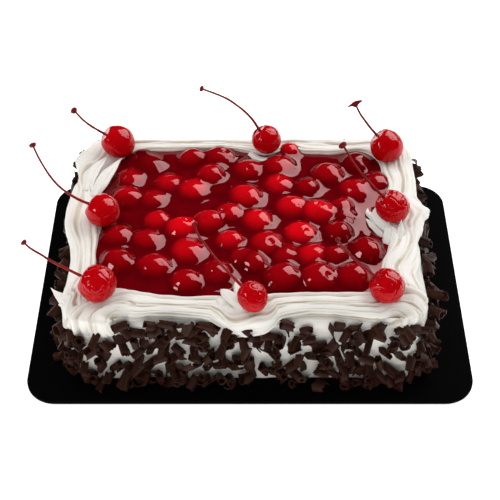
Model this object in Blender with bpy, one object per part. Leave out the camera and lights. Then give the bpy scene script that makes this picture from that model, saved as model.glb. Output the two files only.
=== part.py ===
"""Sheet cake on its board: an iced cake, a piped cream border, a cherry filling and stemmed cherries.

Metres, +Z up. The origin is the middle of the board's underside, and -Y faces the viewer.
"""

import math
import random

import bmesh
import bpy
from mathutils import Matrix, Vector

# Driving dimensions
GAP = 0.0003

BOARD_WIDTH = 0.290
BOARD_DEPTH = 0.207
BOARD_THICKNESS = 0.003
BOARD_CORNER = 0.020
BOARD_EDGE = 0.0007

# Each box is west, east, south, north, and each row of corner radii starts at the south west
CAKE_BOX = (-0.116, 0.112, -0.084, 0.085)
CAKE_CORNERS = (0.016, 0.016, 0.016, 0.016)
CAKE_TOP = 0.0575
CAKE_FOOT = BOARD_THICKNESS + GAP

OPENING_BOX = (-0.098, 0.091, -0.065, 0.073)
OPENING_CORNERS = (0.014, 0.012, 0.020, 0.034)

# The piped border: where its widest line lies, how far it rises above it, and where its hem hangs
BORDER_FOOT = CAKE_TOP + GAP
BORDER_SHOULDER = 0.0606
BORDER_RISE = 0.0048
BORDER_SWELL = 0.0030
BORDER_HEM = 0.0560
BORDER_RIBS = 5
RIB_DEPTH = 0.0021
BORDER_SQUARENESS = 0.72
# Where the cream was piled on: x, y, reach along the border, extra swell, extra drop of the hem, extra rise
CREAM_PILES = (
    (-0.108, -0.084, 0.024, 0.0036, 0.0110, 0.0008),
    (0.000, -0.084, 0.018, 0.0034, 0.0105, 0.0010),
    (0.108, -0.082, 0.014, 0.0034, 0.0060, 0.0008),
    (0.112, 0.004, 0.014, 0.0040, 0.0060, 0.0012),
    (-0.116, 0.012, 0.022, 0.0048, 0.0040, 0.0005),
    (-0.112, 0.082, 0.016, 0.0025, 0.0040, 0.0008),
    (0.110, 0.080, 0.016, 0.0025, 0.0040, 0.0008),
)

GEL_LEVEL = 0.0598
# The cherries that show in the gel, front to back: x, y and z of the middle, and the radius
FILLING_CHERRIES = (
    (-0.040, -0.054, 0.0615, 0.0090), (0.044, -0.051, 0.0620, 0.0102), (0.020, -0.051, 0.0610, 0.0108),
    (0.066, -0.050, 0.0610, 0.0102), (-0.021, -0.046, 0.0605, 0.0090), (-0.061, -0.041, 0.0610, 0.0103),
    (0.003, -0.039, 0.0635, 0.0060), (-0.085, -0.036, 0.0600, 0.0103), (-0.005, -0.034, 0.0630, 0.0062),
    (0.055, -0.032, 0.0635, 0.0066), (0.041, -0.031, 0.0605, 0.0092), (0.024, -0.030, 0.0580, 0.0086),
    (0.076, -0.027, 0.0630, 0.0094), (-0.040, -0.026, 0.0570, 0.0110), (0.011, -0.020, 0.0605, 0.0098),
    (-0.013, -0.018, 0.0620, 0.0080), (-0.067, -0.016, 0.0597, 0.0082), (-0.089, -0.010, 0.0603, 0.0092),
    (0.033, -0.010, 0.0605, 0.0094), (0.058, -0.009, 0.0620, 0.0082), (-0.045, -0.006, 0.0615, 0.0093),
    (-0.028, 0.000, 0.0620, 0.0094), (0.005, 0.002, 0.0600, 0.0088), (-0.062, 0.002, 0.0610, 0.0075),
    (0.064, 0.006, 0.0595, 0.0058), (-0.014, 0.009, 0.0610, 0.0075), (0.046, 0.010, 0.0605, 0.0101),
    (0.028, 0.015, 0.0603, 0.0095), (0.062, 0.016, 0.0615, 0.0058), (-0.066, 0.024, 0.0575, 0.0084),
    (-0.083, 0.025, 0.0600, 0.0090), (-0.003, 0.026, 0.0605, 0.0102), (0.072, 0.032, 0.0585, 0.0103),
    (-0.020, 0.032, 0.0565, 0.0060), (-0.039, 0.033, 0.0580, 0.0096), (0.039, 0.035, 0.0615, 0.0066),
    (0.020, 0.039, 0.0575, 0.0090), (-0.056, 0.040, 0.0580, 0.0085), (0.087, 0.041, 0.0597, 0.0083),
    (-0.083, 0.045, 0.0580, 0.0090), (0.054, 0.048, 0.0615, 0.0097), (-0.027, 0.048, 0.0610, 0.0085),
    (-0.001, 0.054, 0.0590, 0.0092), (0.021, 0.058, 0.0580, 0.0110), (-0.069, 0.059, 0.0575, 0.0098),
    (0.075, 0.060, 0.0603, 0.0098), (-0.080, 0.062, 0.0595, 0.0060), (-0.041, 0.065, 0.0620, 0.0082),
    (-0.021, 0.067, 0.0595, 0.0104), (-0.077, 0.071, 0.0580, 0.0052),
)
FILLING_SQUASH = 0.84
SMALL_CHERRY = 0.0088
FILLING_SEED = 11

# Stemmed cherries: centre, radius, width against height, middle and tip of the stem, radius of its end
STEMMED_CHERRIES = {
    "cherry_front_left": (
        (-0.0945, -0.0648, 0.0720), 0.0116, 1.00, (-0.1227, -0.0560, 0.0830), (-0.1388, -0.0500, 0.0920), 0.0015,
    ),
    "cherry_front_middle": (
        (0.0015, -0.0758, 0.0720), 0.0101, 0.92, (-0.0247, -0.0495, 0.0845), (-0.0343, -0.0340, 0.0920), 0.0014,
    ),
    "cherry_front_right": (
        (0.0852, -0.0665, 0.0715), 0.0108, 0.97, (0.0628, -0.0594, 0.0900), (0.0538, -0.0566, 0.1010), 0.0013,
    ),
    "cherry_right": (
        (0.0946, 0.0045, 0.0725), 0.0116, 0.96, (0.0721, 0.0127, 0.0960), (0.0615, 0.0238, 0.1080), 0.0020,
    ),
    "cherry_back_right": (
        (0.0957, 0.0675, 0.0720), 0.0118, 0.98, (0.0800, 0.0735, 0.0890), (0.0735, 0.0780, 0.0985), 0.0015,
    ),
    "cherry_back_middle": (
        (0.0115, 0.0741, 0.0725), 0.0103, 1.00, (-0.0080, 0.0806, 0.0970), (-0.0320, 0.0840, 0.1100), 0.0015,
    ),
    "cherry_back_left": (
        (-0.0924, 0.0719, 0.0725), 0.0116, 1.02, (-0.1119, 0.0720, 0.0880), (-0.1195, 0.0702, 0.1000), 0.0018,
    ),
    "cherry_left": (
        (-0.0974, 0.0011, 0.0725), 0.0114, 1.00, (-0.1258, 0.0090, 0.0880), (-0.1415, 0.0255, 0.1065), 0.0018,
    ),
}
STEM_RADIUS = 0.00085
STEM_STEPS = 7
TWIG_CHERRY = "cherry_back_right"
TWIG_HALF_LENGTH = 0.0045

# Chocolate curls on the iced sides
CURL_SPACING = 0.0158
CURL_ROWS = (0.0100, 0.0245, 0.0390)
CURL_LENGTH = (0.0085, 0.0140)
CURL_RADIUS = (0.0024, 0.0036)
CURL_WALL = 0.0009
CURL_OPEN_SHARE = 0.2
CURL_SEED = 5

COLOURS = {
    "board": ((0.006, 0.006, 0.007), 0.25),
    "cream": ((0.86, 0.83, 0.77), 0.45),
    "filling": ((0.30, 0.004, 0.010), 0.08),
    "cherry": ((0.55, 0.006, 0.014), 0.12),
}


def material(name):
    """A Principled material in one of the named colours."""
    colour, roughness = COLOURS[name]
    made = bpy.data.materials.new(name)
    made.use_nodes = True
    shader = made.node_tree.nodes["Principled BSDF"]
    shader.inputs["Base Color"].default_value = (*colour, 1.0)
    shader.inputs["Roughness"].default_value = roughness
    return made


def new_object(name, mesh, finish=None):
    """An object in the scene that holds a mesh, with its faces turned out."""
    work = bmesh.new()
    work.from_mesh(mesh)
    bmesh.ops.recalc_face_normals(work, faces=work.faces[:])
    work.to_mesh(mesh)
    work.free()
    made = bpy.data.objects.new(name, mesh)
    bpy.context.scene.collection.objects.link(made)
    if finish:
        made.data.materials.append(finish)
    return made


def outline(box, corners, steps, grow=0.0):
    """Points and outward normals round a rectangle with rounded corners, from its south west corner on.

    steps is how many parts each corner, long side and short side is cut into.
    """
    west, east, south, north = box
    corner_steps, long_steps, short_steps = steps
    inside = [(west, south, 1, 1), (east, south, -1, 1), (east, north, -1, -1), (west, north, 1, -1)]
    runs = []
    for turn, ((x, y, right, up), radius) in enumerate(zip(inside, corners)):
        middle = Vector((x + right * radius, y + up * radius))
        arc = []
        for k in range(corner_steps + 1):
            angle = math.pi + (turn + k / corner_steps) * math.pi / 2
            normal = Vector((math.cos(angle), math.sin(angle)))
            arc.append((middle + normal * (radius + grow), normal))
        runs.append(arc)
    points = []
    for turn, arc in enumerate(runs):
        points += arc
        start, normal = arc[-1]
        end = runs[(turn + 1) % 4][0][0]
        count = long_steps if turn % 2 == 0 else short_steps
        points += [(start.lerp(end, k / count), normal) for k in range(1, count)]
    return points


def mesh_from_rings(name, rings, joined_up):
    """A mesh of quads between rings of equal length. A tube of rings is joined end to end, or else capped."""
    work = bmesh.new()
    made = [[work.verts.new(p) for p in ring] for ring in rings]
    pairs = list(zip(made, made[1:] + made[:1])) if joined_up else list(zip(made, made[1:]))
    for lower, upper in pairs:
        for k in range(len(lower)):
            after = (k + 1) % len(lower)
            work.faces.new((lower[k], lower[after], upper[after], upper[k]))
    if not joined_up:
        work.faces.new(made[0][::-1])
        work.faces.new(made[-1])
    mesh = bpy.data.meshes.new(name)
    work.to_mesh(mesh)
    work.free()
    return mesh


def stacked(name, box, corners, steps, levels):
    """A closed block: one outline for each level, which is a height and how far the outline is grown there."""
    rings = [[(p.x, p.y, z) for p, _ in outline(box, corners, steps, grow)] for z, grow in levels]
    return mesh_from_rings(name, rings, joined_up=False)


def combine(target, pieces, operation, solver="EXACT"):
    """Joins the pieces to the target, or cuts them from it, in one Boolean, and then removes them."""
    group = bpy.data.collections.new(target.name + "_pieces")
    bpy.context.scene.collection.children.link(group)
    for piece in pieces:
        for holder in piece.users_collection:
            holder.objects.unlink(piece)
        group.objects.link(piece)
    boolean = target.modifiers.new("combine", "BOOLEAN")
    boolean.operation = operation
    boolean.operand_type = "COLLECTION"
    boolean.collection = group
    boolean.solver = solver
    bpy.context.view_layer.update()
    graph = bpy.context.evaluated_depsgraph_get()
    mesh = bpy.data.meshes.new_from_object(target.evaluated_get(graph))
    target.modifiers.clear()
    target.data = mesh
    for piece in pieces:
        bpy.data.objects.remove(piece)
    bpy.data.collections.remove(group)


def ball(name, centre, radii, segments, rings, turn=None):
    """An ellipsoid from Blender's UV sphere, turned by a matrix and then moved."""
    work = bmesh.new()
    bmesh.ops.create_uvsphere(work, u_segments=segments, v_segments=rings, radius=1.0)
    place = Matrix.Translation(centre) @ (turn or Matrix()) @ Matrix.Diagonal((*radii, 1.0))
    bmesh.ops.transform(work, matrix=place, verts=work.verts[:])
    mesh = bpy.data.meshes.new(name)
    work.to_mesh(mesh)
    work.free()
    return new_object(name, mesh)


def cream_piles(x, y):
    """Extra swell, drop and rise of the border at a place on the cake's outline."""
    extra = [0.0, 0.0, 0.0]
    for pile_x, pile_y, reach, *amounts in CREAM_PILES:
        weight = math.exp(-((x - pile_x) ** 2 + (y - pile_y) ** 2) / reach**2)
        extra = [e + weight * a for e, a in zip(extra, amounts)]
    return extra


def hem_height(x, y):
    """How high the lower edge of the border hangs at a place on the cake's outline."""
    return BORDER_HEM - cream_piles(x, y)[1]


def make_board(finish):
    box = (-BOARD_WIDTH / 2, BOARD_WIDTH / 2, -BOARD_DEPTH / 2, BOARD_DEPTH / 2)
    levels = (
        (0.0, -BOARD_EDGE),
        (BOARD_EDGE, 0.0),
        (BOARD_THICKNESS - BOARD_EDGE, 0.0),
        (BOARD_THICKNESS, -BOARD_EDGE),
    )
    new_object("board", stacked("board", box, [BOARD_CORNER] * 4, (6, 1, 1), levels), finish)


def curl_section(radius, is_open):
    """The end of a curl: a five-sided roll, or a thick open C."""
    if not is_open:
        turns = [math.radians(72 * k) for k in range(5)]
        return [Vector((radius * math.cos(t), radius * math.sin(t))) for t in turns]
    turns = [math.radians(20 + k * 64) for k in range(5)]
    outer = [Vector((radius * math.cos(t), radius * math.sin(t))) for t in turns]
    return outer + [p * (1 - CURL_WALL / radius) for p in reversed(outer)]


def make_curl(name, centre, normal, draw):
    """One chocolate curl against the iced side, lying in the side's plane and turned at random."""
    length = draw.uniform(*CURL_LENGTH)
    radius = draw.uniform(*CURL_RADIUS)
    slope = math.radians(draw.uniform(-90, 90))
    lean = math.radians(draw.uniform(-14, 14))
    is_open = draw.random() < CURL_OPEN_SHARE
    section = curl_section(radius, is_open)
    ends = [[(p.x, p.y, z) for p in section] for z in (-length / 2, length / 2)]
    mesh = mesh_from_rings(name, ends, joined_up=False)
    along = Vector((-normal.y, normal.x, 0.0))
    axis = along * math.cos(slope) + Vector((0, 0, 1)) * math.sin(slope)
    axis = (axis * math.cos(lean) + Vector((*normal, 0.0)) * math.sin(lean)).normalized()
    out = (Vector((*normal, 0.0)) - axis * axis.dot(Vector((*normal, 0.0)))).normalized()
    turn = Matrix((axis.cross(out), out, axis)).transposed().to_4x4()
    reach_z = abs(axis.z) * length / 2 + radius
    lowest = CAKE_FOOT + GAP + reach_z
    highest = hem_height(centre.x, centre.y) - 4 * GAP - reach_z
    height = min(max(centre.z, lowest), highest)
    place = Vector((centre.x, centre.y, height)) + Vector((*normal, 0.0)) * radius * draw.uniform(0.25, 0.7)
    mesh.transform(Matrix.Translation(place) @ turn)
    return new_object(name, mesh)


def make_iced_cake(finish):
    """The cake under its icing, with the chocolate curls pressed into its four sides."""
    levels = ((CAKE_FOOT, -0.0015), (CAKE_FOOT + 0.003, -0.0003), (CAKE_FOOT + 0.009, 0.0), (CAKE_TOP, 0.0))
    cake = new_object("iced_cake", stacked("iced_cake", CAKE_BOX, CAKE_CORNERS, (5, 1, 1), levels), finish)
    round_cake = outline(CAKE_BOX, CAKE_CORNERS, (6, 40, 30))
    lengths = [0.0]
    for (p, _), (q, _) in zip(round_cake, round_cake[1:] + round_cake[:1]):
        lengths.append(lengths[-1] + (q - p).length)
    draw = random.Random(CURL_SEED)
    columns = int(lengths[-1] / CURL_SPACING)
    curls = []
    for column in range(columns):
        for row, height in enumerate(CURL_ROWS):
            shift = 0.5 * (row % 2) + draw.uniform(-0.3, 0.3)
            distance = (column + shift) * lengths[-1] / columns % lengths[-1]
            k = max(i for i, reached in enumerate(lengths[:-1]) if reached <= distance)
            point, normal = round_cake[k]
            after = round_cake[(k + 1) % len(round_cake)][0]
            point = point.lerp(after, (distance - lengths[k]) / (lengths[k + 1] - lengths[k]))
            centre = Vector((*point, height + draw.uniform(-0.004, 0.004)))
            curls.append(make_curl(f"curl_{column}_{row}", centre, normal, draw))
    combine(cake, curls, "UNION")


def border_section(width, x, y):
    """The border's outline at one station, as pairs: how far out from the opening's edge, and the height."""
    swell, drop, rise = cream_piles(x, y)
    swell += BORDER_SWELL
    rise += BORDER_RISE
    hem = BORDER_HEM - drop
    middle = (width + swell) / 2
    upper_steps = 2 * BORDER_RIBS
    section = []
    for k in range(upper_steps + 1):
        angle = math.pi * (1 - k / upper_steps)
        rib = RIB_DEPTH * (k % 2)
        across = math.copysign(abs(math.cos(angle)) ** BORDER_SQUARENESS, math.cos(angle))
        out = max(0.0, middle + (middle + rib / 2) * across)
        section.append((out, BORDER_SHOULDER + (rise + rib) * abs(math.sin(angle)) ** BORDER_SQUARENESS))
    lower_steps = 3
    for k in range(1, lower_steps + 1):
        angle = math.pi / 2 * k / lower_steps
        rib = RIB_DEPTH * (k % 2)
        out = width + GAP + (swell - GAP + rib) * math.cos(angle) ** 0.6
        section.append((out, BORDER_SHOULDER - (BORDER_SHOULDER - hem) * math.sin(angle)))
    section.append((width + GAP, BORDER_FOOT))
    section.append((0.0, BORDER_FOOT))
    return section


def make_cream_border(finish, cherry_seats):
    """The ribbed rope of piped cream round the cake's top edge, hollowed where the cherries are pressed in."""
    steps = (4, 17, 12)
    inner = outline(OPENING_BOX, OPENING_CORNERS, steps)
    outer = outline(CAKE_BOX, CAKE_CORNERS, steps)
    rings = []
    for (near, _), (far, normal) in zip(inner, outer):
        width = (far - near).length
        ring = []
        for out, z in border_section(width, far.x, far.y):
            if out <= width:
                flat = near.lerp(far, out / width)
            else:
                flat = far + normal * (out - width)
            ring.append((*flat, z))
        rings.append(ring)
    border = new_object("cream_border", mesh_from_rings("cream_border", rings, joined_up=True), finish)
    combine(border, cherry_seats, "DIFFERENCE")


def clear_of_stemmed(centre, radius):
    """Moves a cherry of the filling away from every stemmed cherry that it would touch."""
    for place, big, *_ in STEMMED_CHERRIES.values():
        away = Vector(centre) - Vector(place)
        room = radius + big * 1.04 + 2 * GAP
        if away.length < room:
            flat = Vector((away.x, away.y, 0.0))
            needed = math.sqrt(max(room**2 - away.z**2, 0.0))
            centre = centre + flat.normalized() * (needed - flat.length)
    return centre


def inside_opening(centre, radius):
    """Moves a cherry of the filling in from the opening's edge until it clears the cream."""
    west, east, south, north = OPENING_BOX
    room = radius + 3 * GAP
    x = min(max(centre.x, west + room), east - room)
    y = min(max(centre.y, south + room), north - room)
    inside = [(west, south, 1, 1), (east, south, -1, 1), (east, north, -1, -1), (west, north, 1, -1)]
    for (corner_x, corner_y, right, up), corner in zip(inside, OPENING_CORNERS):
        reach = max(corner, room)
        middle = Vector((corner_x + right * reach, corner_y + up * reach))
        away = Vector((x, y)) - middle
        if away.x * right < 0 and away.y * up < 0 and away.length > reach - room:
            away = away.normalized() * (reach - room)
            x, y = middle + away
    return Vector((x, y, centre.z))


def make_cherry_filling(finish):
    """The gel inside the border with the cherries that show fused on, each one cut flat at the gel's foot."""
    foot = CAKE_TOP + GAP
    levels = ((foot, -GAP), (GEL_LEVEL, -GAP))
    filling = new_object(
        "cherry_filling", stacked("cherry_filling", OPENING_BOX, OPENING_CORNERS, (4, 1, 1), levels), finish
    )
    draw = random.Random(FILLING_SEED)
    cherries = []
    for x, y, z, radius in FILLING_CHERRIES:
        place = inside_opening(clear_of_stemmed(Vector((x, y, z)), radius), radius)
        turn = Matrix.Rotation(draw.uniform(0, math.pi), 4, "Z")
        radii = (radius, radius * draw.uniform(0.86, 1.0), radius * FILLING_SQUASH)
        detail = (8, 6) if radius < SMALL_CHERRY else (10, 6)
        cherry = ball(f"filling_{len(cherries)}", place, radii, *detail, turn)
        work = bmesh.new()
        work.from_mesh(cherry.data)
        parts = work.verts[:] + work.edges[:] + work.faces[:]
        cut = bmesh.ops.bisect_plane(
            work, geom=parts, plane_co=(0, 0, foot + GAP), plane_no=(0, 0, -1), clear_outer=True
        )
        rim = [e for e in cut["geom_cut"] if isinstance(e, bmesh.types.BMEdge)]
        bmesh.ops.contextual_create(work, geom=rim)
        bmesh.ops.recalc_face_normals(work, faces=work.faces[:])
        work.to_mesh(cherry.data)
        work.free()
        cherries.append(cherry)
    combine(filling, cherries, "UNION")


def stem_curve(name, points, radii):
    """A closed tube along points, from a curve with a bevel whose radius changes from point to point."""
    curve = bpy.data.curves.new(name, "CURVE")
    curve.dimensions = "3D"
    curve.bevel_depth = STEM_RADIUS
    curve.bevel_resolution = 1
    curve.use_fill_caps = True
    spline = curve.splines.new("POLY")
    spline.points.add(len(points) - 1)
    for spline_point, place, radius in zip(spline.points, points, radii):
        spline_point.co = (*place, 1.0)
        spline_point.radius = radius / STEM_RADIUS
    made = bpy.data.objects.new(name, curve)
    bpy.context.scene.collection.objects.link(made)
    bpy.context.view_layer.update()
    graph = bpy.context.evaluated_depsgraph_get()
    mesh = bpy.data.meshes.new_from_object(made.evaluated_get(graph))
    bpy.data.objects.remove(made)
    work = bmesh.new()
    work.from_mesh(mesh)
    bmesh.ops.remove_doubles(work, verts=work.verts[:], dist=0.00001)
    work.to_mesh(mesh)
    work.free()
    return new_object(name, mesh)


def make_stemmed_cherry(name, finish):
    """A cherry with a hollow at its stem, and the stem fused on, bent through its middle point to its knob."""
    centre, radius, width, middle, tip, end_radius = STEMMED_CHERRIES[name]
    centre, middle, tip = Vector(centre), Vector(middle), Vector(tip)
    stem_way = (middle - centre).normalized()
    turn = stem_way.to_track_quat("Z", "Y").to_matrix().to_4x4()
    cherry = ball(name, centre, (radius * width, radius * width, radius), 12, 8, turn)
    for vertex in cherry.data.vertices:
        to_pole = (vertex.co - centre).normalized().dot(stem_way)
        vertex.co -= stem_way * radius * 0.16 * max(0.0, to_pole - 0.75) / 0.25
    foot = centre + stem_way * radius * 0.6
    bend = middle * 2 - (foot + tip) / 2
    steps = [k / STEM_STEPS for k in range(STEM_STEPS + 1)]
    points = [foot * (1 - t) ** 2 + bend * 2 * t * (1 - t) + tip * t**2 for t in steps]
    radii = [STEM_RADIUS * (1.25 - 0.3 * t) for t in steps]
    radii[0] = STEM_RADIUS * 1.6
    past_tip = tip + (tip - points[-2]).normalized() * end_radius * 1.6
    points += [tip.lerp(past_tip, 0.5), past_tip]
    radii[-1] = end_radius * 0.75
    radii += [end_radius, end_radius * 0.5]
    pieces = [stem_curve(name + "_stem", points, radii)]
    if name == TWIG_CHERRY:
        twig_way = Vector((0.8, -0.1, 0.55)).normalized() * TWIG_HALF_LENGTH
        twig = [past_tip - twig_way, past_tip - twig_way * 0.4, past_tip + twig_way * 0.4, past_tip + twig_way]
        pieces.append(stem_curve(name + "_twig", twig, [0.0004, 0.0013, 0.0013, 0.0004]))
    combine(cherry, pieces, "UNION")
    cherry.data.materials.clear()
    cherry.data.materials.append(finish)


def cherry_seat(name):
    """The hollow that a stemmed cherry leaves in the cream, a little wider than the cherry."""
    centre, radius, width, *_ = STEMMED_CHERRIES[name]
    side = radius * max(1.0, width) + GAP * 1.6
    return ball(name + "_seat", centre, (side, side, side), 12, 8)


def main():
    for old in list(bpy.data.objects):
        bpy.data.objects.remove(old)
    finishes = {name: material(name) for name in COLOURS}
    make_board(finishes["board"])
    make_iced_cake(finishes["cream"])
    make_cream_border(finishes["cream"], [cherry_seat(name) for name in STEMMED_CHERRIES])
    make_cherry_filling(finishes["filling"])
    for name in STEMMED_CHERRIES:
        make_stemmed_cherry(name, finishes["cherry"])


main()
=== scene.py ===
import math
import random

import bpy
import numpy as np
from mathutils import Matrix, Vector, noise


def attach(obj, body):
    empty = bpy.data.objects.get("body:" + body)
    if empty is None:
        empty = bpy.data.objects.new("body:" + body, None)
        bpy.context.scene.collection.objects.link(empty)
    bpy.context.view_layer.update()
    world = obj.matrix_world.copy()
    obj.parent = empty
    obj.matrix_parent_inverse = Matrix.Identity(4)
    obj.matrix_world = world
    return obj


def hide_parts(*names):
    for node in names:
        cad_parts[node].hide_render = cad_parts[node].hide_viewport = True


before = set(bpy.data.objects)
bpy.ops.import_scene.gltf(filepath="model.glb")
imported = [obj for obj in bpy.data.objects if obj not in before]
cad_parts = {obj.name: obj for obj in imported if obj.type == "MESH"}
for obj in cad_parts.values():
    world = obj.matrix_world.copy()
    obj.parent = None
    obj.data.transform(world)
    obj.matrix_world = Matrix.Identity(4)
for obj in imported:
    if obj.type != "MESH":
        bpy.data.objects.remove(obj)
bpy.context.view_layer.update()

bpy.ops.object.select_all(action="DESELECT")


# The studio: a pale floor, a large soft light behind the cake to its right, a small one in front of it to
# its left, and two weaker ones and even air that nothing wet mirrors. The camera looks down at the cake
# from the front, and was fitted to the four edges of its board.

class Shade:
    """One shader socket. Sums and products on it make Math nodes."""

    def __init__(self, socket):
        self.socket = socket

    def maths(self, operation, first, second):
        tree = self.socket.id_data
        node = shader_node(tree, "ShaderNodeMath", {"operation": operation}, {0: first, 1: second})
        return Shade(node.outputs[0])

    def __add__(self, other):
        return self.maths("ADD", self, other)

    def __radd__(self, other):
        return self.maths("ADD", other, self)

    def __sub__(self, other):
        return self.maths("SUBTRACT", self, other)

    def __rsub__(self, other):
        return self.maths("SUBTRACT", other, self)

    def __mul__(self, other):
        return self.maths("MULTIPLY", self, other)

    def __rmul__(self, other):
        return self.maths("MULTIPLY", other, self)

    def __pow__(self, other):
        return self.maths("POWER", self, other)

    def __rpow__(self, other):
        return self.maths("POWER", other, self)


def set_sockets(tree, node, values):
    """Sets a node's sockets to values, or links them to other sockets."""
    for name, value in values.items():
        if isinstance(value, Shade):
            tree.links.new(value.socket, node.inputs[name])
        else:
            node.inputs[name].default_value = value


def shader_node(tree, kind, settings, values):
    """Adds any node, with its settings and the values or links of its sockets."""
    node = tree.nodes.new(kind)
    for name, value in settings.items():
        setattr(node, name, value)
    set_sockets(tree, node, values)
    return node


def new_material(name):
    """An empty material whose subsurface radius is in metres, its node tree and its Principled shader."""
    material = bpy.data.materials.new(name)
    material.use_nodes = True
    shader = material.node_tree.nodes["Principled BSDF"]
    shader.inputs["Subsurface Scale"].default_value = 1.0
    return material, material.node_tree, shader


def place_noise(tree, scale, detail=3.0, roughness=0.5, stretch=(1.0, 1.0, 1.0)):
    """Noise in the piece's own space. scale is in waves per metre, before the stretch."""
    coordinates = Shade(shader_node(tree, "ShaderNodeTexCoord", {}, {}).outputs["Object"])
    mapping = shader_node(tree, "ShaderNodeMapping", {}, {"Vector": coordinates, "Scale": stretch})
    values = {"Vector": Shade(mapping.outputs[0]), "Scale": scale, "Detail": detail, "Roughness": roughness}
    return Shade(shader_node(tree, "ShaderNodeTexNoise", {}, values).outputs["Fac"])


def blend_colours(tree, factor, first, second):
    """A Mix node between two colours, each a triple or a link."""
    first, second = ((*c, 1.0) if isinstance(c, tuple) else c for c in (first, second))
    node = shader_node(tree, "ShaderNodeMix", {"data_type": "RGBA"}, {0: factor, 6: first, 7: second})
    return Shade(node.outputs[2])


def surface_value(tree, name):
    """A number that the mesh holds at each of its points."""
    return Shade(shader_node(tree, "ShaderNodeAttribute", {"attribute_name": name}, {}).outputs["Fac"])


def bump(tree, height, strength, distance):
    """Relief that only the light sees: a height from 0 to 1, and how far that is in metres."""
    values = {"Height": height, "Strength": strength, "Distance": distance}
    return Shade(shader_node(tree, "ShaderNodeBump", {}, values).outputs["Normal"])


FLOOR_SIZE = 8.0
FLOOR_DROP = 0.0002
LIT_PLACE = Vector((0.0, 0.0, 0.05))
AIR_STRENGTH = 0.275
CAMERA_PLACE = (0.0, -0.57484, 0.61151)
CAMERA_TILT = math.radians(45)
CAMERA_LENS = 86.04

floor_material, tree, shader = new_material("studio_floor")
set_sockets(tree, shader, {
    "Base Color": (0.92, 0.92, 0.92, 1.0),
    "Roughness": 0.9,
    "Specular IOR Level": 0.0,
    "Emission Color": (1.0, 1.0, 1.0, 1.0),
    "Emission Strength": 0.70,
})
bpy.ops.mesh.primitive_plane_add(size=FLOOR_SIZE, location=(0, 0, -FLOOR_DROP))
floor = bpy.context.object
floor.name = "floor"
floor.data.materials.append(floor_material)


def soft_light(name, place, width, depth, power):
    """A rectangular light turned to the middle of the cake, with its size in metres and power in watts."""
    place = Vector(place)
    turn = (LIT_PLACE - place).to_track_quat("-Z", "Y").to_euler()
    bpy.ops.object.light_add(type="AREA", location=place, rotation=turn)
    light = bpy.context.object
    light.name = name
    light.data.shape = "RECTANGLE"
    light.data.size = width
    light.data.size_y = depth
    light.data.energy = power
    return light


soft_light("light_back_right", (0.60, 0.54, 0.78), 0.98, 0.98, 8.9)
soft_light("light_front_left", (-0.52, -0.27, 0.34), 0.15, 0.15, 0.40)
for fill in (
    soft_light("light_front", (-0.05, -0.88, 0.42), 0.9, 0.5, 2.6),
    soft_light("light_left", (-0.55, 0.38, 0.95), 0.7, 0.7, 5.6),
):
    fill.visible_glossy = False

world = bpy.data.worlds.new("studio_air")
bpy.context.scene.world = world
world.use_nodes = True
air = world.node_tree.nodes["Background"]
set_sockets(world.node_tree, air, {"Color": (1.0, 1.0, 1.0, 1.0), "Strength": AIR_STRENGTH})
world.cycles_visibility.glossy = False

bpy.ops.object.camera_add(location=CAMERA_PLACE, rotation=(CAMERA_TILT, 0.0, 0.0))
camera = bpy.context.object
camera.data.lens = CAMERA_LENS
camera.data.sensor_width = 36.0
camera.data.clip_start = 0.05
bpy.context.scene.camera = camera
bpy.context.scene.view_settings.view_transform = "Standard"


# The board: one stiff sheet of black plastic with rounded corners and a softened edge. It is moulded, and
# satin all over, with the faint cloudiness and hairline scratches of a cake board.

BOARD_SIZE = (0.290, 0.207, 0.003)
BOARD_CORNER = 0.020
BOARD_EDGE = 0.0008
CORNER_SEGMENTS = 16
EDGE_SEGMENTS = 3


def select_edges(piece, wanted):
    """Selects the edges, and nothing else, that a test on their two ends picks out, in edit mode."""
    bpy.context.tool_settings.mesh_select_mode = (False, True, False)
    bpy.ops.object.mode_set(mode="OBJECT")
    mesh = piece.data
    for part in (*mesh.polygons, *mesh.edges, *mesh.vertices):
        part.select = False
    for edge in mesh.edges:
        ends = [mesh.vertices[v].co for v in edge.vertices]
        edge.select = wanted(*ends)
    bpy.ops.object.mode_set(mode="EDIT")


bpy.ops.mesh.primitive_cube_add(size=1.0, location=(0, 0, BOARD_SIZE[2] / 2), scale=BOARD_SIZE)
board = bpy.context.object
board.name = "cake_board"
bpy.ops.object.transform_apply(location=True, rotation=True, scale=True)
select_edges(board, lambda a, b: abs(a.z - b.z) > BOARD_SIZE[2] / 2)
bpy.ops.mesh.bevel(offset=BOARD_CORNER, segments=CORNER_SEGMENTS)
select_edges(board, lambda a, b: abs(a.z - b.z) < 1e-6)
bpy.ops.mesh.bevel(offset=BOARD_EDGE, segments=EDGE_SEGMENTS)
bpy.ops.object.mode_set(mode="OBJECT")
bpy.ops.object.shade_smooth_by_angle(angle=math.radians(35))

board_material, tree, shader = new_material("black_plastic")
cloud = place_noise(tree, 60.0, 4.0, 0.6)
scratch = place_noise(tree, 900.0, 2.0, 0.5, (1.0, 0.08, 1.0))
set_sockets(tree, shader, {
    "Base Color": blend_colours(tree, cloud, (0.0012, 0.0012, 0.0013), (0.0030, 0.0029, 0.0030)),
    "Roughness": 0.30 + cloud * 0.16 + scratch * 0.05,
    "Specular IOR Level": 0.005,
    "Normal": bump(tree, cloud * 0.7 + scratch * 0.3, 0.10, 0.0004),
})
board.data.materials.append(board_material)
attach(board, "root")
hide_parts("board")


# The cake under its icing: layers of sponge spread all over with soft white icing, smeared round the sides
# with a knife. It is one block, and its icing shows between the curls.

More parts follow.
